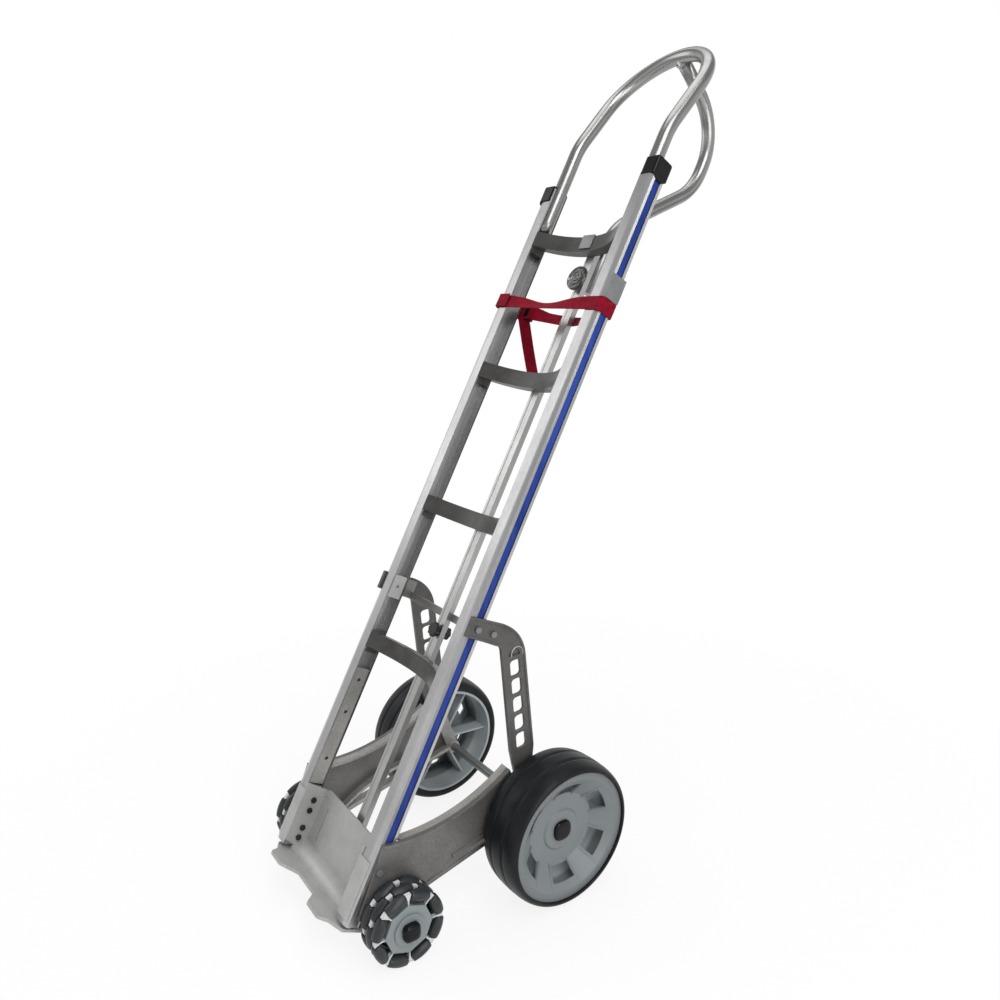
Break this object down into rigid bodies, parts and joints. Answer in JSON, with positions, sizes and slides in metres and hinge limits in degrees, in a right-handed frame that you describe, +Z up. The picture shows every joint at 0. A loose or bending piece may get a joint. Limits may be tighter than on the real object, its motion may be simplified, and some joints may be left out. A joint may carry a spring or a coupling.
{
  "type": "gas cylinder trolley",
  "caption": "Reclined aluminium gas cylinder trolley with curved braces, arched tube handle, rear wheels on cast arms, small omnidirectional wheels and a red strap.",
  "frame": {"origin": "on the floor, under the middle of the bounding box", "axes": "+X to the operator's left, +Y to the rear where the handle is, +Z up"},
  "size_m": [0.481, 0.9249, 1.4498],
  "materials": {
    "rail_aluminium": "satin extrusion",
    "blue_strip": "plain coloured strip",
    "black_plastic": "moulded, slight gloss",
    "cast_aluminium": "raw casting, dull",
    "tyre_rubber": "matt black",
    "grey_plastic": "moulded, bluish grey",
    "steel": "zinc plated",
    "pale_plastic": "moulded, pale grey",
    "roller_rubber": "matt charcoal",
    "brace_coat": "charcoal powder coat",
    "bar_aluminium": "satin extrusion",
    "tube_aluminium": "satin tube",
    "nose_aluminium": "matt casting",
    "dark_steel": "blackened",
    "knob_metal": "turned, satin",
    "knob_plastic": "moulded, charcoal",
    "strap_fabric": "woven webbing"
  },
  "bodies": {
    "frame": {"arm_foot_bolts": "steel", "arm_tie_bar": "cast_aluminium", "axle_caps": "black_plastic", "axle_washers": "steel", "brace_1": "brace_coat", "brace_2": "brace_coat", "brace_3": "brace_coat", "brace_4": "brace_coat", "centre_bar": "bar_aluminium", "centre_bar_hook": "steel", "handle_loop": "tube_aluminium", "handle_rear_loop": "tube_aluminium", "knob_nuts": "dark_steel", "left_arm_clamp_block": "nose_aluminium", "left_channel_filler": "cast_aluminium", "left_lower_arm": "cast_aluminium", "left_nose_block": "cast_aluminium", "left_rail": "rail_aluminium", "left_rail_cap": "black_plastic", "left_rail_strip": "blue_strip", "left_upper_arm": "cast_aluminium", "lower_arm_bolts": "steel", "nose_bolts": "dark_steel", "nose_plate": "nose_aluminium", "omni_axle_bolts": "steel", "omni_caps": "black_plastic", "rear_axle": "steel", "right_arm_clamp_block": "nose_aluminium", "right_channel_filler": "cast_aluminium", "right_lower_arm": "cast_aluminium", "right_nose_block": "cast_aluminium", "right_rail": "rail_aluminium", "right_rail_cap": "black_plastic", "right_rail_strip": "blue_strip", "right_upper_arm": "cast_aluminium", "strap_bracket": "steel", "strap_buckle": "black_plastic", "strap_webbing": "strap_fabric", "upper_arm_bolts": "steel"},
    "left_rear_wheel": {"left_rear_tyre": "tyre_rubber", "left_rear_hub": "grey_plastic", "left_rear_bearing_sleeve": "steel"},
    "right_rear_wheel": {"right_rear_tyre": "tyre_rubber", "right_rear_hub": "grey_plastic", "right_rear_bearing_sleeve": "steel"},
    "left_omni_wheel": {"left_omni_hub": "pale_plastic", "left_omni_rollers": "roller_rubber", "left_omni_bush": "steel"},
    "right_omni_wheel": {"right_omni_hub": "pale_plastic", "right_omni_rollers": "roller_rubber", "right_omni_bush": "steel"},
    "left_contact_roller": {"left_omni_contact_roller": "roller_rubber"},
    "right_contact_roller": {"right_omni_contact_roller": "roller_rubber"},
    "upper_knob": {"upper_knob": "knob_metal"},
    "lower_knob": {"lower_knob": "knob_plastic"}
  },
  "joints": [
    {"name": "left_rear_wheel_turn", "type": "hinge", "parent": "frame", "child": "left_rear_wheel", "pos_m": [0.196, -0.06625, 0.127], "axis": [1, 0, 0], "continuous": true},
    {"name": "left_omni_wheel_turn", "type": "hinge", "parent": "frame", "child": "left_omni_wheel", "pos_m": [0.174, -0.35365, 0.0625], "axis": [1, 0, 0], "continuous": true},
    {"name": "left_contact_roller_turn", "type": "hinge", "parent": "left_omni_wheel", "child": "left_contact_roller", "pos_m": [0.174, -0.35365, 0.0096], "axis": [0, 1, 0], "continuous": true},
    {"name": "right_rear_wheel_turn", "type": "hinge", "parent": "frame", "child": "right_rear_wheel", "pos_m": [-0.196, -0.06625, 0.127], "axis": [1, 0, 0], "continuous": true},
    {"name": "right_omni_wheel_turn", "type": "hinge", "parent": "frame", "child": "right_omni_wheel", "pos_m": [-0.174, -0.35365, 0.0625], "axis": [1, 0, 0], "continuous": true},
    {"name": "right_contact_roller_turn", "type": "hinge", "parent": "right_omni_wheel", "child": "right_contact_roller", "pos_m": [-0.174, -0.35365, 0.0096], "axis": [0, 1, 0], "continuous": true},
    {"name": "upper_knob_turn", "type": "hinge", "parent": "frame", "child": "upper_knob", "pos_m": [0, 0.1161, 1.04546], "axis": [0, -0.8862, 0.4633], "range_deg": [0, 720]},
    {"name": "lower_knob_turn", "type": "hinge", "parent": "frame", "child": "lower_knob", "pos_m": [0, -0.18811, 0.44846], "axis": [0, -0.8862, 0.4633], "range_deg": [0, 720]}
  ]
}
